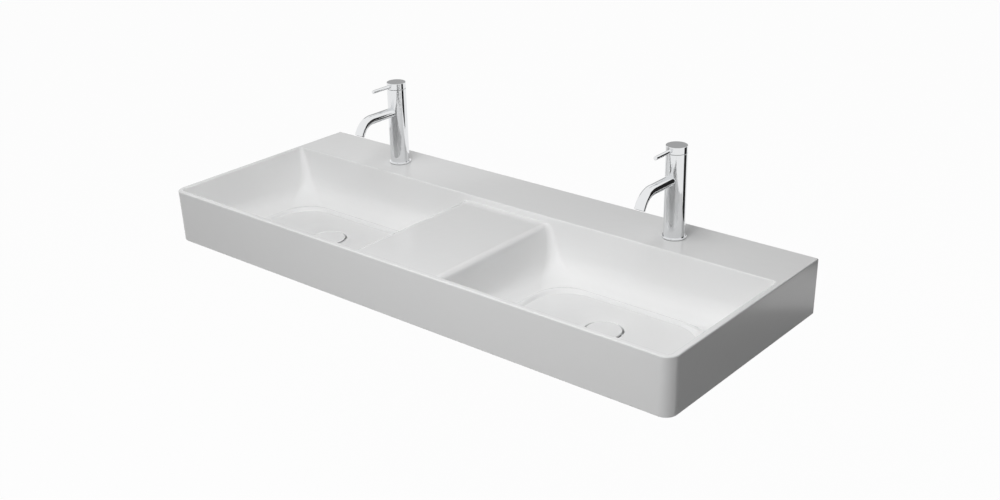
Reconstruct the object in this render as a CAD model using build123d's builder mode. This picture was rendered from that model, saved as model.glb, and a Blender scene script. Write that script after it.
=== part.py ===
from build123d import *
from math import asin, cos, degrees, radians, sin, sqrt, tan
import os

# Wall-hung double washbasin of glazed ceramic: one wide tray with two bowls, a flat platform between
# them and a tap ledge along the wall. Each bowl has a lever mixer tap and a waste with a lift-out cover.
# X runs along the wall, Y into the wall, Z up. The origin is on the wall face, midway between the bowls,
# at the height of the fixing bolts. All sizes are in millimetres and degrees.

# Basin, outside
basin_width = 1200.0
basin_depth = 470.0
rim_above_bolts = 62.0
apron_draft = 1.1
front_corner_r = 22.0
back_corner_r = 3.0
rim_edge_r = 2.5
foot_edge_r = 2.5

# Basin, ceramic thickness
apron_t = 9.0
bowl_t = 9.0
ledge_t = 14.0
back_wall_t = 12.0
platform_t = 12.0
web_t = 9.0
web_clear_of_foot = 12.0
knee_above_floor = 36.5
floor_above_foot = 4.5
shell_taper = 34.0
shell_corner_r = 20.0
platform_backing = 8.0

# Bowls and platform, as seen from above
front_rim = 11.0
side_rim = 11.0
ledge_depth = 130.0
platform_width = 196.0
platform_drop = 12.0
platform_edge_r = 12.0
mouth_corner_r = 8.0
mouth_edge_r = 2.5

# Bowl walls and floor
bowl_depth = 100.5
end_wall_slope = 21.0
long_wall_slope = 9.0
cove_r = 60.0
wall_middle = 40.0
corner_growth = 0.95
floor_fall = 3.0
dish_r = 86.0
dish_above = 5.0

# Bowl stations: both taps and both wastes stand on the centre line of their bowl
bowl_spacing = 690.0
waste_from_wall = 287.0
tap_from_wall = 68.0

# Wall fixing, two bolts behind each bowl
bolt_spacing = 280.0
bolt_hole_r = 7.0
bolt_pad_r = 20.0
bolt_pad_t = 6.0

# Waste seat in the ceramic
cup_r = 36.0
cup_depth = 12.0
cup_lip_r = 2.5
cup_wall = 8.0
waste_hole_r = 23.0
boss_depth = 42.0

# Waste fitting
waste_thread_r = 20.95
waste_shank_r = 20.4
waste_bore_r = 17.5
waste_flange_r = 34.0
waste_flange_t = 2.5
waste_throat_chamfer = 2.0
waste_tail = 26.0
waste_tail_gap = 1.0
upper_seal_t = 1.5
lower_seal_t = 3.0
slip_washer_t = 1.5
lock_nut_t = 10.0
lock_nut_lug_r = 33.0
lock_nut_lug_w = 6.0
lock_nut_r = 28.0
seal_grip = 0.25
spider_drop = 8.0
spider_h = 4.0
spider_arm_t = 2.6
spider_hub_r = 5.4
cover_r = 32.5
cover_t = 5.0
cover_proud = 1.5
cover_edge_r = 1.8
cover_stem_r = 3.0
cover_stem_tail = 4.0
cover_shoulder_r = 4.8
cover_plate_r = 14.0
cover_plate_t = 1.2

# Tap body
tap_hole_r = 17.5
tap_r = 20.0
tap_top_h = 163.0
tap_edge = 0.4
spigot_r = 17.2
spigot_depth = 6.0
foot_recess_r = 15.5
foot_recess = 10.0
base_ring_r = 23.0
base_ring_h = 3.0
base_ring_bore_r = 17.5
base_ring_edge = 0.8
base_seal_r = 22.4
base_seal_h = 0.8
chamber_r = 17.3

# Spout
spout_below_top = 48.4
spout_r = 10.25
spout_bore_r = 8.2
spout_root = 13.0
spout_straight = 78.4
spout_bend_r = 36.4
spout_turn = 62.0
spout_tail = 8.3
aerator_socket_r = 8.6
aerator_length = 7.0
aerator_wall = 1.3
aerator_inset = 1.0
insert_t = 2.6
insert_inset = 2.0
insert_hole_r = 0.75
insert_row_r = (4.9, 2.3)
insert_row_counts = (10, 5)

# Lever handle: the cap tilts about a point inside the cartridge
cap_gap = 1.0
cap_h = 12.5
cap_edge_r = 0.8
cap_shell_r = 29.4
pivot_below_cap = 22.0
lever_h_above_cap = 6.5
lever_r = 3.7
lever_seat = 16.5
lever_reach = 69.0
lever_tip_r = 0.8
lever_tilt = 22.0
boss_r = 6.0
boss_above_pivot = 20.0
boss_root = 2.0
boss_side_gap = 0.5
stem_half_x = 3.4
stem_half_y = 3.0
stem_above_pivot = 32.0
stem_below_pivot = 10.0
grub_r = 2.45
grub_above_pivot = 30.5
grub_start = 3.1
grub_end = 18.6
grub_socket_af = 2.5
grub_socket_depth = 3.0

# Cartridge, heights about the lever's pivot
cartridge_r = 17.2
cartridge_below = 17.0
cartridge_above = 6.0
turret_r = 12.0
turret_above = 14.0
turret_below = 11.2
slot_wall_gap = 0.1
slot_swing_gap = 0.7
disc_r = 15.0
disc_t = 3.0
disc_gap = 0.05
pocket_x = 15.0
pocket_y = 10.5
pocket_r = 4.5
pocket_depth = 1.0
nut_h = 8.0
nut_bore_r = 12.4
nut_notch_w = 2.6
nut_notch_depth = 2.0
dome_r = 28.9
dome_t = 1.5
dome_lift = 0.4
cheek_in = 7.0
cheek_out = 10.4
cheek_half_y = 5.0
pivot_pin_r = 1.5
pivot_pin_half = 11.6

# Water ways and the fixing under the ledge
port_x = 8.5
port_y = 4.5
port_r = 4.25
port_depth = 12.0
channel_r = 3.8
outlet_y = -8.0
outlet_r = 3.4
stud_r = 4.0
stud_y = -10.5
stud_grip = 10.0
stud_spare = 15.0
washer_r = 24.0
washer_t = 2.0
clamp_t = 3.0
clamp_r = 23.0
clamp_cut_r = 15.0
clamp_cut_y = 9.5
clamp_nut_h = 8.0
clamp_nut_af = 13.0

# Clearances
running_gap = 0.05
loose_gap = 0.2

# Heights and places that follow from the sizes above
rim_z = rim_above_bolts
floor_depth = bowl_depth + floor_fall
shell_knee = bowl_depth - knee_above_floor
apron_height = floor_depth + floor_above_foot
foot_z = rim_z - apron_height
half_width = basin_width / 2
platform_half = platform_width / 2
bowl_x = bowl_spacing / 2
mouth_end_x = half_width - side_rim
mouth_front_y = -basin_depth + front_rim
mouth_back_y = -ledge_depth
floor_z = rim_z - floor_depth
cup_z = floor_z - cup_depth
boss_z = floor_z - boss_depth
tap_y = -tap_from_wall
waste_y = -waste_from_wall
pivot_h = tap_top_h + cap_gap - pivot_below_cap
spout_h = tap_top_h - spout_below_top
base_h = base_seal_h + base_ring_h

os.makedirs("parts", exist_ok=True)


def save(piece, name):
    """Name a finished piece and write it to its own file."""
    piece.part.label = name
    export_step(piece.part, f"parts/{name}.step")


def wall_inset(depth, slope, grow=0.0):
    """How far a bowl wall has come in from its mouth at a depth below the rim.

    The wall falls straight at its slope and then turns through a cove into the floor. grow moves the
    whole line outwards, square to itself, for the outside of the ceramic.
    """
    centre_depth = bowl_depth - cove_r
    tangent_depth = centre_depth + cove_r * sin(radians(slope))
    centre_inset = tangent_depth * tan(radians(slope)) + cove_r * cos(radians(slope))
    radius = cove_r + grow
    if depth <= centre_depth + radius * sin(radians(slope)):
        return depth * tan(radians(slope)) - grow / cos(radians(slope))
    return centre_inset - sqrt(radius**2 - (depth - centre_depth) ** 2)


def platform_inset(depth):
    """The bowl wall beside the platform: a rounded edge first, then the wall."""
    slope = radians(end_wall_slope)
    edge_depth = platform_drop + platform_edge_r * (1 - sin(slope))
    if depth >= edge_depth:
        return wall_inset(depth, end_wall_slope)
    setback = platform_edge_r * (1 - sin(slope)) / cos(slope)
    turned = 1 - (depth - platform_drop) / platform_edge_r
    edge_start = platform_drop * tan(slope) - setback
    return edge_start + platform_edge_r * sqrt(1 - turned**2)


def outline(depth, inner_x, grow=0.0):
    """The plan of the water space at a depth: centre, size and corner radius."""
    long_in = wall_inset(depth, long_wall_slope, grow)
    outer_x = mouth_end_x - wall_inset(depth, end_wall_slope, grow)
    front_y = mouth_front_y + long_in
    back_y = mouth_back_y - long_in
    corner = mouth_corner_r + corner_growth * (long_in + grow) + grow
    centre = ((inner_x + outer_x) / 2, (front_y + back_y) / 2)
    return centre, (outer_x - inner_x, back_y - front_y), corner


def shell_plan(depth):
    """The plan of the ceramic outside one bowl at a depth: centre and size."""
    end_in = depth * tan(radians(end_wall_slope)) - bowl_t / cos(radians(end_wall_slope))
    long_in = depth * tan(radians(long_wall_slope)) - bowl_t / cos(radians(long_wall_slope))
    inner_x = platform_half + end_in - platform_backing
    outer_x = mouth_end_x - end_in
    front_y = mouth_front_y + long_in
    back_y = mouth_back_y - long_in
    return ((inner_x + outer_x) / 2, (front_y + back_y) / 2), (outer_x - inner_x, back_y - front_y)


edge_turns = (90, 62, 40, end_wall_slope)
edge_depths = [platform_drop + platform_edge_r * (1 - sin(radians(turn))) for turn in edge_turns]
cove_turns = (30, 48, 64, 78, 90)
cove_depths = [bowl_depth - cove_r * (1 - sin(radians(turn))) for turn in cove_turns]
bowl_depths = edge_depths + [wall_middle] + cove_depths

bowl_spaces = []
bowl_shells = []
for side in (-1, 1):
    # Water space of one bowl: a loft through its sections, from the platform's edge to the floor
    with BuildPart() as bowl_space:
        for depth in bowl_depths:
            centre, size, corner = outline(depth, platform_half + platform_inset(depth))
            with BuildSketch(Plane.XY.offset(rim_z - depth)) as section:
                with Locations((side * centre[0], centre[1])):
                    RectangleRounded(size[0], size[1], corner)
        loft()
    bowl_spaces.append(bowl_space)

    # Outside of the same bowl's ceramic: drafted like the walls, then drawn in below a knee
    with BuildPart() as bowl_shell:
        for depth, next_depth in ((ledge_t / 2, shell_knee), (shell_knee, floor_depth + bowl_t)):
            plan_centre, plan_size = shell_plan(depth)
            with BuildSketch(Plane.XY.offset(rim_z - depth)) as shell_section:
                with Locations((side * plan_centre[0], plan_centre[1])):
                    Rectangle(*plan_size)
            if depth < shell_knee:
                extrude(amount=depth - next_depth)
                top_plane = Plane.XY.offset(rim_z - depth)
                draft(bowl_shell.faces().filter_by(Axis.X), top_plane, -end_wall_slope)
                draft(bowl_shell.faces().filter_by(Axis.Y), top_plane, -long_wall_slope)
            else:
                extrude(amount=depth - next_depth, taper=shell_taper)
        slanted = bowl_shell.edges().filter_by(lambda e: abs(e.tangent_at(0.5).Z) > 0.5)
        fillet(slanted, shell_corner_r)
    bowl_shells.append(bowl_shell)

# The hollow under the tray: the inside of the apron, less what the ceramic keeps standing in it
foot_in = apron_height * tan(radians(apron_draft))
hollow_top = rim_z - ledge_t
top_in = ledge_t * tan(radians(apron_draft)) + apron_t
bolt_places = [(middle + half * bolt_spacing / 2, 0) for middle in (-bowl_x, bowl_x) for half in (-1, 1)]
with BuildPart() as hollow:
    for height, wall_in in ((foot_z, foot_in + apron_t), (hollow_top, top_in)):
        hollow_depth = basin_depth - wall_in - back_wall_t
        with BuildSketch(Plane.XY.offset(height)) as hollow_plan:
            with Locations((0, -back_wall_t - hollow_depth / 2)):
                Rectangle(basin_width - 2 * wall_in, hollow_depth)
            fillet(hollow_plan.vertices().sort_by(Axis.Y)[:2], front_corner_r - apron_t)
            fillet(hollow_plan.vertices().sort_by(Axis.Y)[-2:], back_corner_r + apron_t)
    loft(ruled=True)
    plate_back = mouth_back_y + 2 * bowl_t
    with BuildSketch(Plane.XY.offset(rim_z)) as plate_plan:
        with Locations((0, (plate_back - basin_depth) / 2)):
            Rectangle(platform_width + 2 * bowl_t, plate_back + basin_depth)
    extrude(amount=-platform_drop - platform_t, mode=Mode.SUBTRACT)
    with BuildSketch(Plane.XY.offset(rim_z)) as web_plan:
        Rectangle(web_t, 2 * basin_depth)
    extrude(amount=foot_z + web_clear_of_foot - rim_z, mode=Mode.SUBTRACT)
    with BuildSketch(Plane.XZ.offset(back_wall_t / 2)) as pad_plan:
        with Locations(*bolt_places):
            Circle(bolt_pad_r)
    extrude(amount=back_wall_t / 2 + bolt_pad_t, mode=Mode.SUBTRACT)
    for bowl_shell in bowl_shells:
        add(bowl_shell.part, mode=Mode.SUBTRACT)
    with BuildSketch(Plane.XY.offset(boss_z)) as boss_plan:
        with Locations((-bowl_x, waste_y), (bowl_x, waste_y)):
            Circle(cup_r + cup_wall)
    extrude(amount=boss_depth - bowl_t / 2, mode=Mode.SUBTRACT)

# Basin: a drafted tray with a boss for each waste, the tray's rounded mouth, then hollow and bowls
with BuildPart() as basin:
    with BuildSketch(Plane.XY.offset(rim_z)) as tray_plan:
        with Locations((0, -basin_depth / 2)):
            Rectangle(basin_width, basin_depth)
    extrude(amount=-apron_height)
    sides = basin.faces().filter_by(Axis.X)
    front = basin.faces().filter_by(Axis.Y).sort_by(Axis.Y)[:1]
    draft(sides + front, Plane.XY.offset(rim_z), -apron_draft)
    uprights = basin.edges().filter_by(lambda e: abs(e.tangent_at(0.5).Z) > 0.9)
    fillet(uprights.sort_by(Axis.Y)[:2], front_corner_r)
    uprights = basin.edges().filter_by(lambda e: abs(e.tangent_at(0.5).Z) > 0.9)
    fillet(uprights.sort_by(Axis.Y)[-2:], back_corner_r)
    fillet(basin.faces().sort_by(Axis.Z)[-1].edges(), rim_edge_r)
    fillet(basin.faces().sort_by(Axis.Z)[0].edges(), foot_edge_r)
    with BuildSketch(Plane.XY.offset(boss_z)) as boss_plan:
        with Locations((-bowl_x, waste_y), (bowl_x, waste_y)):
            Circle(cup_r + cup_wall)
    extrude(amount=boss_depth)

    for depth in (0, platform_drop):
        centre, size, corner = outline(depth, -mouth_end_x + wall_inset(depth, end_wall_slope))
        with BuildSketch(Plane.XY.offset(rim_z - depth)) as tray_section:
            with Locations(centre):
                RectangleRounded(size[0], size[1], corner)
    loft(ruled=True, mode=Mode.SUBTRACT)
    rim_face = basin.faces().filter_by(Axis.Z).group_by(Axis.Z)[-1].sort_by(SortBy.AREA)[-1]
    mouth = rim_face.inner_wires().sort_by(SortBy.LENGTH)[-1]
    fillet(mouth.edges(), mouth_edge_r)

    add(hollow.part, mode=Mode.SUBTRACT)
    for bowl_space in bowl_spaces:
        add(bowl_space.part, mode=Mode.SUBTRACT)

    # Dish that falls to each waste, the waste's cup with a rounded lip, then the holes
    dish_z = rim_z - bowl_depth
    dish_run = dish_r - cup_r
    dish_arc_r = (dish_run**2 + floor_fall**2) / (2 * floor_fall)
    dish_turn = degrees(asin(dish_run / dish_arc_r))
    for middle in (-bowl_x, bowl_x):
        with BuildSketch(Plane((middle, waste_y, 0), x_dir=(1, 0, 0), z_dir=(0, -1, 0))) as cup_profile:
            with BuildLine():
                dish = JernArc((dish_r, dish_z), (-1, 0), dish_arc_r, dish_turn)
                Polyline(dish @ 1, (cup_r, cup_z), (0, cup_z), (0, dish_z + dish_above))
                Polyline((0, dish_z + dish_above), (dish_r, dish_z + dish_above), dish @ 0)
            make_face()
            lip = cup_profile.vertices().group_by(Axis.X)[1].sort_by(Axis.Y)[-1]
            fillet(lip, cup_lip_r)
        revolve(axis=Axis((middle, waste_y, 0), (0, 0, 1)), mode=Mode.SUBTRACT)
    with BuildSketch(Plane.XY.offset(boss_z)) as waste_plan:
        with Locations((-bowl_x, waste_y), (bowl_x, waste_y)):
            Circle(waste_hole_r)
    extrude(amount=boss_depth, mode=Mode.SUBTRACT)
    with BuildSketch(Plane.XY.offset(rim_z)) as tap_plan:
        with Locations((-bowl_x, tap_y), (bowl_x, tap_y)):
            Circle(tap_hole_r)
    extrude(amount=-ledge_t, mode=Mode.SUBTRACT)
    with BuildSketch(Plane.XZ) as bolt_plan:
        with Locations(*bolt_places):
            Circle(bolt_hole_r)
    extrude(amount=back_wall_t + bolt_pad_t, mode=Mode.SUBTRACT)
save(basin, "basin")


def waste_pieces(side, x):
    """The waste fitting of one bowl, from the cover in the cup down to the open tail."""

    def level(height):
        return Plane((x, waste_y, height))

    upright = Plane((x, waste_y, 0), x_dir=(1, 0, 0), z_dir=(0, -1, 0))
    axis = Axis((x, waste_y, 0), (0, 0, 1))
    flange_z = cup_z + upper_seal_t
    flange_top = flange_z + waste_flange_t
    seal_z = boss_z - lower_seal_t
    slip_z = seal_z - slip_washer_t
    nut_z = slip_z - lock_nut_t
    tail_top = nut_z - waste_tail_gap
    tail_z = tail_top - waste_tail
    spider_z = flange_top - spider_drop - spider_h
    hub_bore = cover_stem_r + running_gap

    # Waste body: a turned flange on a tube, with a three-armed spider for the cover. The tube's thread is
    # drawn at its middle where the nut grips it and at its outside on the tail that takes the trap
    with BuildPart() as waste_body:
        with BuildSketch(upright) as profile:
            with BuildLine():
                Polyline(
                    (waste_bore_r, tail_z),
                    (waste_thread_r, tail_z),
                    (waste_thread_r, tail_top),
                    (waste_shank_r, tail_top),
                    (waste_shank_r, flange_z),
                    (waste_flange_r, flange_z),
                    (waste_flange_r, flange_top),
                    (waste_bore_r + waste_throat_chamfer, flange_top),
                    (waste_bore_r, flange_top - waste_throat_chamfer),
                    close=True,
                )
            make_face()
        revolve(axis=axis)
        with BuildSketch(level(spider_z)) as spider:
            with PolarLocations(0, 3):
                Rectangle(waste_bore_r + loose_gap, spider_arm_t, align=(Align.MIN, Align.CENTER))
            Circle(spider_hub_r)
            Circle(hub_bore, mode=Mode.SUBTRACT)
        extrude(amount=spider_h)
    save(waste_body, f"waste_body_{side}")

    # Rubber rings above and below the ceramic, the slip washer and the lock nut
    with BuildPart() as upper_seal:
        with BuildSketch(level(cup_z)) as ring:
            Circle(waste_flange_r - loose_gap)
            Circle(waste_hole_r + loose_gap, mode=Mode.SUBTRACT)
        extrude(amount=upper_seal_t)
    save(upper_seal, f"waste_upper_seal_{side}")

    with BuildPart() as lower_seal:
        with BuildSketch(level(seal_z)) as ring:
            Circle(cup_r)
            Circle(waste_shank_r + seal_grip, mode=Mode.SUBTRACT)
        extrude(amount=lower_seal_t)
    save(lower_seal, f"waste_lower_seal_{side}")

    with BuildPart() as slip_washer:
        with BuildSketch(level(slip_z)) as ring:
            Circle(lock_nut_lug_r)
            Circle(waste_shank_r + loose_gap, mode=Mode.SUBTRACT)
        extrude(amount=slip_washer_t)
    save(slip_washer, f"waste_slip_washer_{side}")

    with BuildPart() as lock_nut:
        with BuildSketch(level(nut_z)) as ring:
            Circle(lock_nut_r)
            with PolarLocations(0, 6):
                Rectangle(lock_nut_lug_r, lock_nut_lug_w, align=(Align.MIN, Align.CENTER))
            Circle(waste_shank_r + running_gap, mode=Mode.SUBTRACT)
        extrude(amount=lock_nut_t)
    save(lock_nut, f"waste_lock_nut_{side}")

    # Lift-out cover: a flat ceramic disc on a turned stem that drops into the spider
    cover_top = floor_z + cover_proud
    cover_z = cover_top - cover_t
    with BuildPart() as cover:
        with BuildSketch(level(cover_z)) as disc:
            Circle(cover_r)
        extrude(amount=cover_t)
        fillet(cover.edges().group_by(Axis.Z)[-1], cover_edge_r)
        chamfer(cover.edges().group_by(Axis.Z)[0], cover_edge_r / 2)
    save(cover, f"waste_cover_{side}")

    plate_z = cover_z - cover_plate_t
    with BuildPart() as cover_stem:
        with BuildSketch(upright) as profile:
            with BuildLine():
                Polyline(
                    (0, spider_z - cover_stem_tail),
                    (cover_stem_r, spider_z - cover_stem_tail),
                    (cover_stem_r, spider_z + spider_h),
                    (cover_shoulder_r, spider_z + spider_h),
                    (cover_shoulder_r, plate_z),
                    (cover_plate_r, plate_z),
                    (cover_plate_r, cover_z),
                    (0, cover_z),
                    close=True,
                )
            make_face()
        revolve(axis=axis)
    save(cover_stem, f"cover_stem_{side}")


def tap_pieces(side, x):
    """One lever mixer tap, from its base ring on the ledge to the fixing under it."""

    def level(height):
        return Plane((x, tap_y, rim_z + height))

    upright = Plane((x, tap_y, rim_z), x_dir=(0, 1, 0), z_dir=(1, 0, 0))
    axis = Axis((x, tap_y, 0), (0, 0, 1))
    chamber_h = pivot_h - cartridge_below
    inlet_h = foot_recess - spigot_depth

    # Base seal and base ring on the ledge
    with BuildPart() as base_seal:
        with BuildSketch(level(0)) as ring:
            Circle(base_seal_r)
            Circle(base_ring_bore_r, mode=Mode.SUBTRACT)
        extrude(amount=base_seal_h)
    save(base_seal, f"base_seal_{side}")

    with BuildPart() as base_ring:
        with BuildSketch(level(base_seal_h)) as ring:
            Circle(base_ring_r)
            Circle(base_ring_bore_r, mode=Mode.SUBTRACT)
        extrude(amount=base_ring_h)
        chamfer(base_ring.edges().group_by(Axis.Z)[-1].sort_by(SortBy.LENGTH)[-1], base_ring_edge)
    save(base_ring, f"base_ring_{side}")

    # Tap body: a brass casting turned outside, bored for the cartridge, the spout and the water
    with BuildPart() as tap_body:
        with BuildSketch(level(-spigot_depth)) as spigot:
            Circle(spigot_r)
        extrude(amount=spigot_depth + base_h)
        with BuildSketch(level(base_h)) as barrel:
            Circle(tap_r)
        extrude(amount=tap_top_h - base_h)
        chamfer(tap_body.edges().group_by(Axis.Z)[-1], tap_edge)
        with BuildSketch(level(chamber_h)) as chamber:
            Circle(chamber_r)
        extrude(amount=tap_top_h - chamber_h, mode=Mode.SUBTRACT)
        with BuildSketch(Plane((x, tap_y, rim_z + spout_h), x_dir=(1, 0, 0), z_dir=(0, -1, 0))) as bore:
            Circle(spout_bore_r)
        extrude(amount=tap_r, mode=Mode.SUBTRACT)
        seat_plane = Plane((x, tap_y - spout_root, rim_z + spout_h), x_dir=(1, 0, 0), z_dir=(0, -1, 0))
        with BuildSketch(seat_plane) as spout_seat:
            Circle(spout_r + running_gap)
        extrude(amount=tap_r, mode=Mode.SUBTRACT)
        with BuildSketch(level(-spigot_depth)) as recess:
            Circle(foot_recess_r)
        extrude(amount=foot_recess, mode=Mode.SUBTRACT)
        with BuildSketch(level(inlet_h)) as ports:
            with Locations((-port_x, port_y), (port_x, port_y)):
                Circle(port_r)
        extrude(amount=port_depth, mode=Mode.SUBTRACT)
        with BuildSketch(level(inlet_h)) as channels:
            with Locations((-port_x, port_y), (port_x, port_y)):
                Circle(channel_r)
        extrude(amount=chamber_h - inlet_h, mode=Mode.SUBTRACT)
        with BuildSketch(level(spout_h)) as outlet:
            with Locations((0, outlet_y)):
                Circle(outlet_r)
        extrude(amount=chamber_h - spout_h, mode=Mode.SUBTRACT)
        with BuildSketch(level(inlet_h)) as stud_hole:
            with Locations((0, stud_y)):
                Circle(stud_r + running_gap)
        extrude(amount=stud_grip, mode=Mode.SUBTRACT)
    save(tap_body, f"tap_body_{side}")

    # Spout: a bent tube, with the aerator in its open end
    with BuildPart() as spout:
        with BuildLine(upright) as route:
            level_run = Line((-spout_root, spout_h), (-spout_straight, spout_h))
            bend = JernArc(level_run @ 1, level_run % 1, spout_bend_r, spout_turn)
            Line(bend @ 1, bend @ 1 + (bend % 1) * spout_tail)
        with BuildSketch(seat_plane) as tube:
            Circle(spout_r)
            Circle(spout_bore_r, mode=Mode.SUBTRACT)
        sweep()
        mouth_plane = Plane(route.line @ 1, x_dir=(1, 0, 0), z_dir=(route.line % 1) * -1)
        with BuildSketch(mouth_plane) as socket:
            Circle(aerator_socket_r)
        extrude(amount=aerator_inset + aerator_length, mode=Mode.SUBTRACT)
    save(spout, f"spout_{side}")

    housing_r = aerator_socket_r - running_gap
    with BuildPart() as aerator_housing:
        with BuildSketch(mouth_plane.offset(aerator_inset)) as ring:
            Circle(housing_r)
            Circle(housing_r - aerator_wall, mode=Mode.SUBTRACT)
        extrude(amount=aerator_length)
    save(aerator_housing, f"aerator_housing_{side}")

    insert_r = housing_r - aerator_wall - running_gap
    with BuildPart() as aerator_insert:
        with BuildSketch(mouth_plane.offset(aerator_inset + insert_inset)) as grid:
            Circle(insert_r)
            for row_r, row_count in zip(insert_row_r, insert_row_counts):
                with PolarLocations(row_r, row_count):
                    Circle(insert_hole_r, mode=Mode.SUBTRACT)
        extrude(amount=insert_t)
    save(aerator_insert, f"aerator_insert_{side}")

    # Cartridge housing with its two ceramic discs and the nut that holds it down
    housing_bore = turret_r + running_gap
    shoulder_h = pivot_h - turret_below + disc_gap
    with BuildPart() as cartridge:
        with BuildSketch(level(chamber_h)) as sleeve:
            Circle(cartridge_r)
            Circle(disc_r + loose_gap, mode=Mode.SUBTRACT)
        extrude(amount=shoulder_h - chamber_h)
        with BuildSketch(level(shoulder_h)) as sleeve:
            Circle(cartridge_r)
            Circle(housing_bore, mode=Mode.SUBTRACT)
        extrude(amount=pivot_h + cartridge_above - shoulder_h)
    save(cartridge, f"cartridge_{side}")

    with BuildPart() as fixed_disc:
        with BuildSketch(level(chamber_h)) as disc:
            Circle(disc_r)
            with Locations((-port_x, port_y), (port_x, port_y)):
                Circle(channel_r, mode=Mode.SUBTRACT)
            with Locations((0, outlet_y)):
                Circle(outlet_r, mode=Mode.SUBTRACT)
        extrude(amount=disc_t)
    save(fixed_disc, f"fixed_disc_{side}")

    moving_h = chamber_h + disc_t + disc_gap
    with BuildPart() as moving_disc:
        with BuildSketch(level(moving_h)) as disc:
            Circle(disc_r)
        extrude(amount=pivot_h - turret_below - moving_h)
        with BuildSketch(level(moving_h)) as pocket:
            with Locations((0, port_y / 2)):
                RectangleRounded(pocket_x, pocket_y, pocket_r)
        extrude(amount=pocket_depth, mode=Mode.SUBTRACT)
    save(moving_disc, f"moving_disc_{side}")

    with BuildPart() as cartridge_nut:
        with BuildSketch(level(pivot_h + cartridge_above)) as ring:
            Circle(cartridge_r)
            Circle(nut_bore_r, mode=Mode.SUBTRACT)
        extrude(amount=nut_h)
        with BuildSketch(level(pivot_h + cartridge_above + nut_h)) as notches:
            with PolarLocations(nut_bore_r + (cartridge_r - nut_bore_r) / 2, 6):
                Rectangle(cartridge_r, nut_notch_w, align=(Align.MIN, Align.CENTER))
        extrude(amount=-nut_notch_depth, mode=Mode.SUBTRACT)
    save(cartridge_nut, f"cartridge_nut_{side}")

    # Turret: the carrier that swivels in the cartridge, slotted so that the stem can tilt in it
    swing = tan(radians(lever_tilt))
    lean = stem_half_y / cos(radians(lever_tilt))
    slot_half_x = stem_half_x + slot_wall_gap
    slot_half_y = lean + slot_swing_gap
    with BuildPart() as turret:
        with BuildSketch(level(pivot_h - turret_below)) as post:
            Circle(turret_r)
        extrude(amount=turret_below + turret_above)
        with BuildSketch(upright) as slot:
            with BuildLine():
                Polyline(
                    (-slot_half_y, pivot_h + turret_above),
                    (slot_half_y + turret_above * swing, pivot_h + turret_above),
                    (slot_half_y, pivot_h),
                    (slot_half_y, pivot_h - turret_below),
                    (-slot_half_y - turret_below * swing, pivot_h - turret_below),
                    (-slot_half_y, pivot_h),
                    close=True,
                )
            make_face()
        extrude(amount=slot_half_x, both=True, mode=Mode.SUBTRACT)
        with BuildSketch(upright) as pin_hole:
            with Locations((0, pivot_h)):
                Circle(pivot_pin_r + running_gap)
        extrude(amount=turret_r, both=True, mode=Mode.SUBTRACT)
    save(turret, f"turret_{side}")

    with BuildPart() as pivot_pin:
        with BuildSketch(upright) as pin:
            with Locations((0, pivot_h)):
                Circle(pivot_pin_r)
        extrude(amount=pivot_pin_half, both=True)
    save(pivot_pin, f"pivot_pin_{side}")

    # Dome: a spherical cover on two cheeks that turns with the turret and hides the cartridge
    pivot_at = (x, tap_y, rim_z + pivot_h)
    turret_top = rim_z + pivot_h + turret_above
    dome_foot = rim_z + tap_top_h + dome_lift
    cheek_x = (cheek_in + cheek_out) / 2
    with BuildPart() as dome_hollow:
        with Locations(pivot_at):
            Sphere(dome_r - dome_t)
        with Locations((x, tap_y, dome_foot)):
            Cylinder(dome_r + dome_t, dome_r, align=(Align.CENTER, Align.CENTER, Align.MAX))
        with Locations((x - cheek_x, tap_y, turret_top), (x + cheek_x, tap_y, turret_top)):
            cheek_size = (cheek_out - cheek_in, 2 * cheek_half_y, dome_r)
            Box(*cheek_size, align=(Align.CENTER, Align.CENTER, Align.MIN), mode=Mode.SUBTRACT)
    with BuildPart() as dome:
        with Locations(pivot_at):
            Sphere(dome_r)
        split(bisect_by=Plane.XY.offset(turret_top), keep=Keep.TOP)
        add(dome_hollow.part, mode=Mode.SUBTRACT)
        boss_gap = boss_r + boss_side_gap
        swung = radians(lever_tilt) + asin(boss_r / dome_r)
        slot_back = dome_r * sin(swung) + slot_swing_gap
        with BuildSketch(level(tap_top_h)) as slot:
            with Locations((0, (slot_back - boss_gap) / 2)):
                SlotOverall(slot_back + boss_gap, 2 * boss_gap, rotation=90)
        extrude(amount=dome_r, mode=Mode.SUBTRACT)
    save(dome, f"dome_{side}")

    # Stem and handle cap: the cap hides the dome under a spherical hollow and clamps the stem
    with BuildPart() as lever_stem:
        with BuildSketch(level(pivot_h - stem_below_pivot)) as bar:
            Rectangle(2 * stem_half_x, 2 * stem_half_y)
        extrude(amount=stem_below_pivot + stem_above_pivot)
        with BuildSketch(upright) as pin_hole:
            with Locations((0, pivot_h)):
                Circle(pivot_pin_r + running_gap)
        extrude(amount=stem_half_x, both=True, mode=Mode.SUBTRACT)
    save(lever_stem, f"lever_stem_{side}")

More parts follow.
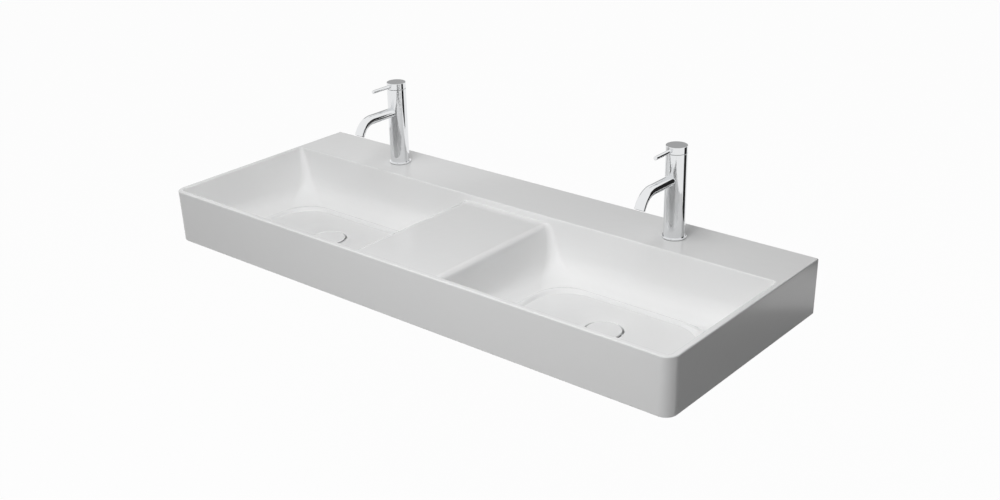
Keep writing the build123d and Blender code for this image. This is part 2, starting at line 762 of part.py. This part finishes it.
    cap_foot = pivot_h + pivot_below_cap
    lever_h = cap_foot + lever_h_above_cap
    with BuildPart() as handle_cap:
        with BuildSketch(level(cap_foot)) as cap_plan:
            Circle(tap_r)
        extrude(amount=cap_h)
        fillet(handle_cap.edges().group_by(Axis.Z)[-1], cap_edge_r)
        with Locations(pivot_at):
            Sphere(cap_shell_r, mode=Mode.SUBTRACT)
        with BuildSketch(level(pivot_h + boss_above_pivot)) as boss:
            Circle(boss_r)
        extrude(amount=cap_shell_r - boss_above_pivot + boss_root)
        with BuildSketch(level(pivot_h + boss_above_pivot)) as socket:
            Rectangle(2 * (stem_half_x + running_gap), 2 * (stem_half_y + running_gap))
        extrude(amount=stem_above_pivot - boss_above_pivot + loose_gap, mode=Mode.SUBTRACT)
        with BuildSketch(Plane((x, tap_y - lever_seat, rim_z + lever_h), z_dir=(0, -1, 0))) as lever_hole:
            Circle(lever_r + running_gap)
        extrude(amount=tap_r, mode=Mode.SUBTRACT)
        grub_plane = Plane((x, tap_y, rim_z + pivot_h + grub_above_pivot), z_dir=(0, 1, 0))
        with BuildSketch(grub_plane) as grub_hole:
            Circle(grub_r + running_gap)
        extrude(amount=tap_r, mode=Mode.SUBTRACT)
    save(handle_cap, f"handle_cap_{side}")

    with BuildPart() as pin_lever:
        with BuildSketch(Plane((x, tap_y - lever_seat, rim_z + lever_h), z_dir=(0, -1, 0))) as rod:
            Circle(lever_r)
        extrude(amount=lever_reach - lever_seat)
        fillet(pin_lever.edges().group_by(Axis.Y)[0], lever_tip_r)
    save(pin_lever, f"pin_lever_{side}")

    with BuildPart() as grub_screw:
        with BuildSketch(grub_plane.offset(grub_start)) as screw:
            Circle(grub_r)
        extrude(amount=grub_end - grub_start)
        with BuildSketch(grub_plane.offset(grub_end)) as key:
            RegularPolygon(grub_socket_af / 2, 6, major_radius=False)
        extrude(amount=-grub_socket_depth, mode=Mode.SUBTRACT)
    save(grub_screw, f"grub_screw_{side}")

    # Fixing under the ledge: rubber washer, clamp plate, nut and the stud they run on
    under = -ledge_t
    clamp_pieces = (
        ("deck_washer", under - washer_t, washer_t, washer_r),
        ("clamp_plate", under - washer_t - clamp_t, clamp_t, clamp_r),
    )
    for name, height, thickness, radius in clamp_pieces:
        with BuildPart() as crescent:
            with BuildSketch(level(height)) as plan:
                Circle(radius)
                with Locations((0, clamp_cut_y)):
                    Circle(clamp_cut_r, mode=Mode.SUBTRACT)
                with Locations((0, clamp_cut_y)):
                    Rectangle(2 * clamp_cut_r, washer_r, align=(Align.CENTER, Align.MIN), mode=Mode.SUBTRACT)
                with Locations((0, stud_y)):
                    Circle(stud_r + loose_gap, mode=Mode.SUBTRACT)
            extrude(amount=thickness)
        save(crescent, f"{name}_{side}")

    nut_h_low = under - washer_t - clamp_t - clamp_nut_h
    with BuildPart() as clamp_nut:
        with BuildSketch(level(nut_h_low)) as hexagon:
            with Locations((0, stud_y)):
                RegularPolygon(clamp_nut_af / 2, 6, major_radius=False)
                Circle(stud_r + running_gap, mode=Mode.SUBTRACT)
        extrude(amount=clamp_nut_h)
    save(clamp_nut, f"clamp_nut_{side}")

    with BuildPart() as tap_stud:
        with BuildSketch(level(nut_h_low - stud_spare)) as rod:
            with Locations((0, stud_y)):
                Circle(stud_r)
        extrude(amount=stud_spare - nut_h_low + inlet_h + stud_grip)
    save(tap_stud, f"tap_stud_{side}")


for side_name, place in (("left", -bowl_x), ("right", bowl_x)):
    waste_pieces(side_name, place)
    tap_pieces(side_name, place)
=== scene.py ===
from math import radians

import bpy
from mathutils import Matrix, Vector


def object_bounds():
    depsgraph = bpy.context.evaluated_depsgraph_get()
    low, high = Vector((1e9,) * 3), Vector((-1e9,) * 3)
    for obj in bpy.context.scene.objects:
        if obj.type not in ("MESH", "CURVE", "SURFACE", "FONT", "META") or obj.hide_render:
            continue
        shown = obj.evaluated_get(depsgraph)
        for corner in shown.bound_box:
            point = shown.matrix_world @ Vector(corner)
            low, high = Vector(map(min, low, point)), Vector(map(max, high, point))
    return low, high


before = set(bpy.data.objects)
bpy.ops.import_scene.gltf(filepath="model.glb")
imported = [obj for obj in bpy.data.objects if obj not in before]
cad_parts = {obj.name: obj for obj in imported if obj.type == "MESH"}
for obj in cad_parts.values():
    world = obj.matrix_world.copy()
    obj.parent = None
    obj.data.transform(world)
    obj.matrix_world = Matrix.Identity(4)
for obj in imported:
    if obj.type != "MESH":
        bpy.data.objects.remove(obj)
cad_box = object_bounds()
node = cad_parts
sides = ("left", "right")

# The studio: a white floor well below the wall-hung basin, a white surround, three soft lamps, and
# three glowing grey or black cards that only reflections show, as painted reflections of a studio's
# dark parts. The photograph was taken from the right of the front, looking down 23 degrees, with a slightly
# long lens.


class Wire:
    """One output of a shader node. Sums written on it add Math nodes to the same finish."""

    def __init__(self, finish, maker, output=0):
        self.finish = finish
        self.maker = maker
        self.socket = maker.outputs[output] if maker.outputs else None

    def out(self, output):
        return Wire(self.finish, self.maker, output)

    def sum(self, operation, first, second):
        return self.finish.add("ShaderNodeMath", {"operation": operation}, {0: first, 1: second})

    def __add__(self, other):
        return self.sum("ADD", self, other)

    def __mul__(self, other):
        return self.sum("MULTIPLY", self, other)

    __radd__ = __add__
    __rmul__ = __mul__


class Finish:
    """A material, or the world, whose nodes are added one at a time."""

    def __init__(self, name, owner=None):
        self.owner = owner or bpy.data.materials.new(name)
        self.owner.use_nodes = True
        self.tree = self.owner.node_tree
        self.tree.nodes.clear()

    def add(self, kind, settings=None, sockets=None):
        made = self.tree.nodes.new(kind)
        for name, value in (settings or {}).items():
            setattr(made, name, value)
        for name, value in (sockets or {}).items():
            if isinstance(value, Wire):
                self.tree.links.new(value.socket, made.inputs[name])
            else:
                made.inputs[name].default_value = value
        return Wire(self, made)

    def blend(self, factor, first, second):
        """A colour between two colours, by a factor."""
        settings = {"data_type": "RGBA"}
        return self.add("ShaderNodeMix", settings, {0: factor, 6: first, 7: second}).out(2)

    def grain(self, scale, detail=2.0, stretch=(1, 1, 1)):
        """Noise in the object's own place, from 0 to 1, with a scale in lumps a metre."""
        place = self.add("ShaderNodeTexCoord").out("Object")
        spread = self.add("ShaderNodeMapping", None, {"Vector": place, "Scale": stretch})
        return self.add("ShaderNodeTexNoise", None, {"Vector": spread, "Scale": scale, "Detail": detail})

    def range(self, value, low, high):
        """A value from 0 to 1 spread between two others."""
        return value * (high - low) + low

    def bump(self, height, distance):
        return self.add("ShaderNodeBump", None, {"Height": height, "Distance": distance, "Strength": 1.0})

    def seen(self):
        """One where the camera, a reflection or a view through something looks at the surface."""
        rays = self.add("ShaderNodeLightPath")
        return rays.out("Is Camera Ray") + rays.out("Is Glossy Ray") + rays.out("Is Transmission Ray")

    def mix(self, factor, first, second):
        """A shader between two shaders, by a factor."""
        return self.add("ShaderNodeMixShader", None, {0: factor, 1: first, 2: second})

    def show(self, shader):
        kind = "ShaderNodeOutputWorld" if self.owner.rna_type.name == "World" else "ShaderNodeOutputMaterial"
        self.add(kind, None, {"Surface": shader})
        return self.owner


picture_size = (1000, 500)
lens_in_pixels = 1310.93
lens_middle = (492.75, 237.08)
sensor_width = 36
view_above_level = 22.844
view_round_from_front = 40.541
view_roll = -1.4642
camera_distance = 2.31878
camera_offset = (0.19164, 0.04374)
rim_height = 0.062

camera_data = bpy.data.cameras.new("camera")
camera_data.sensor_width = sensor_width
camera_data.lens = lens_in_pixels * sensor_width / picture_size[0]
camera_data.shift_x = (picture_size[0] / 2 - lens_middle[0]) / picture_size[0]
camera_data.shift_y = (lens_middle[1] - picture_size[1] / 2) / picture_size[0]
camera_data.clip_end = 100
camera = bpy.data.objects.new("camera", camera_data)
bpy.context.scene.collection.objects.link(camera)
turned = Matrix.Rotation(radians(view_round_from_front), 4, "Z")
turned = turned @ Matrix.Rotation(radians(90 - view_above_level), 4, "X")
turned = turned @ Matrix.Rotation(radians(view_roll), 4, "Z")
front_of_rim = Vector((0, cad_box[0][1], rim_height))
station = front_of_rim + turned.to_3x3() @ Vector((*camera_offset, camera_distance))
camera.matrix_world = Matrix.Translation(station) @ turned
bpy.context.scene.camera = camera
bpy.context.scene.view_settings.view_transform = "Standard"

floor_size = 30
floor_z = -0.80
whiteness = 0.97
ambient_light = 0.15
bpy.ops.mesh.primitive_plane_add(size=floor_size, location=(0, 0, floor_z))
floor = bpy.context.object
floor.name = "floor"
floor_finish = Finish("studio_floor")
floor_paint = {"Color": (0.86, 0.86, 0.86, 1), "Roughness": 1.0}
paint = floor_finish.add("ShaderNodeBsdfDiffuse", None, floor_paint)
glow = floor_finish.add("ShaderNodeEmission", None, {"Color": (1, 1, 1, 1), "Strength": 1.0})
seen = floor_finish.seen() * whiteness
floor.data.materials.append(floor_finish.show(floor_finish.mix(seen, paint, glow)))

world = bpy.data.worlds.new("surround")
bpy.context.scene.world = world
surround = Finish("surround", world)
ambient = surround.add("ShaderNodeBackground", None, {"Color": (1, 1, 1, 1), "Strength": ambient_light})
white = surround.add("ShaderNodeBackground", None, {"Color": (1, 1, 1, 1), "Strength": 1.0})
surround.show(surround.mix(surround.seen(), ambient, white))


def soft_lamp(name, at, aim, size, power):
    """A square soft box at a place, turned to face another."""
    lamp_data = bpy.data.lights.new(name, "AREA")
    lamp_data.shape = "RECTANGLE"
    lamp_data.size, lamp_data.size_y = size
    lamp_data.energy = power
    lamp = bpy.data.objects.new(name, lamp_data)
    bpy.context.scene.collection.objects.link(lamp)
    lamp.location = at
    lamp.rotation_euler = (Vector(aim) - Vector(at)).to_track_quat("-Z", "Y").to_euler()
    lamp.visible_glossy = False


soft_lamp("front_lamp", at=(0.30, -1.45, 1.25), aim=(0.15, -0.20, 0), size=(0.9, 0.8), power=14.5)
soft_lamp("top_lamp", at=(-0.1, -0.75, 2.0), aim=(-0.05, -0.20, 0), size=(1.6, 1.2), power=15.5)
soft_lamp("right_lamp", at=(2.6, -0.9, 0.8), aim=(0, -0.25, 0), size=(1.0, 1.4), power=1.0)


def dark_card(name, at, aim, size, shade):
    """A card that glows grey or black and that only reflections show: a painted reflection standing in for
    the dark parts of a studio.
    """
    bpy.ops.mesh.primitive_plane_add(size=1, location=at)
    card = bpy.context.object
    card.name = name
    card.scale = (size[0], size[1], 1)
    card.rotation_euler = (Vector(aim) - Vector(at)).to_track_quat("Z", "Y").to_euler()
    reflection_glow = Finish(name)
    glow = reflection_glow.add("ShaderNodeEmission", None, {"Color": (1, 1, 1, 1), "Strength": shade})
    card.data.materials.append(reflection_glow.show(glow))
    card.visible_camera = card.visible_diffuse = card.visible_shadow = False
    card.visible_transmission = False


right_tap = 0.345
# Painted reflections: glowing cards, near black to the right and below, grey above and to the left, seen
# only in the chrome and the glaze.
dark_card("right_flag", at=(1.05, 0.66, 0.14), aim=(right_tap, -0.15, 0.15), size=(0.75, 0.95), shade=0.02)
dark_card("low_flag", at=(0.95, 0.55, -0.62), aim=(right_tap, -0.1, 0.1), size=(1.6, 0.45), shade=0.02)
dark_card("high_flag", at=(-0.55, 0.75, 0.62), aim=(right_tap, -0.1, 0.2), size=(1.7, 0.45), shade=0.42)

# The basin: one casting of sanitary ceramic with a white glaze fired on. It hangs on four wall bolts.
# The glaze has a faint orange-peel surface, and its white drifts a little from place to place.
pooling = (0.985, 0.99, 1.0)
fine_share = 0.08
basin_white = (0.84, 0.84, 0.835)


def glaze(name, colour, peel):
    """Fired glaze: a pale body under a clear, very smooth coat with a faint ripple."""
    finish = Finish(name)
    cloud = finish.grain(scale=9, detail=3)
    pooled = tuple(part * share for part, share in zip(colour, pooling))
    ripple = finish.grain(scale=55, detail=1)
    fine = finish.grain(scale=600)
    shader = finish.add("ShaderNodeBsdfPrincipled", None, {
        "Base Color": finish.blend(cloud, (*colour, 1), (*pooled, 1)),
        "Roughness": finish.range(fine, low=0.20, high=0.27),
        "IOR": 1.5,
        "Coat Weight": 0.4,
        "Coat Roughness": 0.09,
        "Normal": finish.bump(ripple + fine * fine_share, peel),
    })
    return finish.show(shader)


def dress(names, material):
    """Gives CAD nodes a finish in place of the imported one."""
    for name in names:
        slots = node[name].data.materials
        slots.clear()
        slots.append(material)


def both_sides(*names):
    return [f"{name}_{side}" for name in names for side in sides]


dress(["basin"], glaze("basin_glaze", basin_white, peel=0.0002))

# The waste covers: pressed ceramic discs in the basin's own white glaze, each bonded to a turned
# brass stem that drops into the waste. They lift straight out for cleaning.
dress(both_sides("waste_cover"), glaze("cover_glaze", basin_white, peel=0.0001))

# The taps: brass castings and tubes, ground, polished and chrome plated. The cap carries a straight
# pin lever, and a shadow gap parts it from the body.
wipe_haze = 0.05


def chrome(name, colour, roughness):
    """Polished chrome plate: near-mirror with faint wipe marks and a trace of polishing ripple."""
    finish = Finish(name)
    wipe = finish.grain(scale=70, detail=4, stretch=(1, 1, 0.3))
    ripple = finish.grain(scale=140, detail=1)
    shader = finish.add("ShaderNodeBsdfPrincipled", None, {
        "Base Color": (*colour, 1),
        "Metallic": 1.0,
        "Roughness": finish.range(wipe, roughness, roughness + wipe_haze),
        "Normal": finish.bump(ripple, distance=0.00001),
    })
    return finish.show(shader)


tap_chrome = chrome("tap_chrome", (0.80, 0.81, 0.82), roughness=0.03)
dress(both_sides("tap_body", "base_ring", "spout", "handle_cap", "pin_lever"), tap_chrome)
dress(both_sides("aerator_housing"), chrome("aerator_chrome", (0.70, 0.71, 0.72), roughness=0.10))
dress(both_sides("dome"), chrome("dome_chrome", (0.55, 0.56, 0.57), roughness=0.12))
dress(both_sides("waste_body"), chrome("waste_chrome", (0.74, 0.75, 0.76), roughness=0.08))

# Turned and drawn metal out of sight: brass nuts and stems, and the steel pins, studs and plates.
# Each is cut on a lathe or pressed, left bare or zinc plated, and screwed or pinned in place.
mark_depth = 0.00004
mark_haze = 0.15
stained = 0.82
brass = (0.72, 0.58, 0.30)


def turned_metal(name, colour, roughness, rings):
    """Bare metal with fine tool marks round it."""
    finish = Finish(name)
    marks = finish.grain(rings, stretch=(0.2, 0.2, 6))
    stain = finish.grain(scale=40, detail=4)
    dull = tuple(part * stained for part in colour)
    shader = finish.add("ShaderNodeBsdfPrincipled", None, {
        "Base Color": finish.blend(stain, (*colour, 1), (*dull, 1)),
        "Metallic": 1.0,
        "Roughness": finish.range(marks, roughness, roughness + mark_haze),
        "Normal": finish.bump(marks, mark_depth),
    })
    return finish.show(shader)


dress(both_sides("waste_lock_nut", "cartridge_nut"),
      turned_metal("nut_brass", brass, roughness=0.22, rings=300))
dress(both_sides("cover_stem"), turned_metal("stem_brass", brass, roughness=0.20, rings=400))
dress(both_sides("pivot_pin", "lever_stem", "grub_screw"),
      turned_metal("pin_steel", (0.56, 0.56, 0.57), roughness=0.20, rings=500))
dress(both_sides("clamp_plate", "clamp_nut", "tap_stud"),
      turned_metal("clamp_steel", (0.62, 0.62, 0.58), roughness=0.30, rings=300))

# Rubber seals and washers, moulded black, with a dull bloom on them, and moulded plastic pieces: the
# cartridge housing, the turret, the aerator insert and the slip washer. The two discs in each cartridge
# are pressed and lapped ceramic. Each is held between its neighbours.
texture_depth = 0.00003
patch_haze = 0.12


def moulded(name, colour, roughness, bloom):
    """A moulded or pressed material with fine texture and a slight bloom."""
    finish = Finish(name)
    patch = finish.grain(scale=60, detail=3)
    fine = finish.grain(scale=1500)
    pale = tuple(part + (1 - part) * bloom for part in colour)
    shader = finish.add("ShaderNodeBsdfPrincipled", None, {
        "Base Color": finish.blend(patch, (*colour, 1), (*pale, 1)),
        "Roughness": finish.range(patch, roughness, roughness + patch_haze),
        "Normal": finish.bump(fine, texture_depth),
    })
    return finish.show(shader)


dress(both_sides("waste_upper_seal", "waste_lower_seal", "base_seal", "deck_washer"),
      moulded("seal_rubber", (0.022, 0.022, 0.022), roughness=0.62, bloom=0.03))
dress(both_sides("waste_slip_washer"),
      moulded("slip_plastic", (0.78, 0.78, 0.76), roughness=0.42, bloom=0.03))
dress(both_sides("cartridge"),
      moulded("cartridge_plastic", (0.80, 0.80, 0.78), roughness=0.40, bloom=0.03))
dress(both_sides("turret"),
      moulded("turret_plastic", (0.30, 0.31, 0.33), roughness=0.42, bloom=0.04))
dress(both_sides("aerator_insert"),
      moulded("aerator_plastic", (0.50, 0.51, 0.52), roughness=0.40, bloom=0.04))
dress(both_sides("fixed_disc", "moving_disc"),
      moulded("disc_ceramic", (0.86, 0.84, 0.78), roughness=0.18, bloom=0.05))
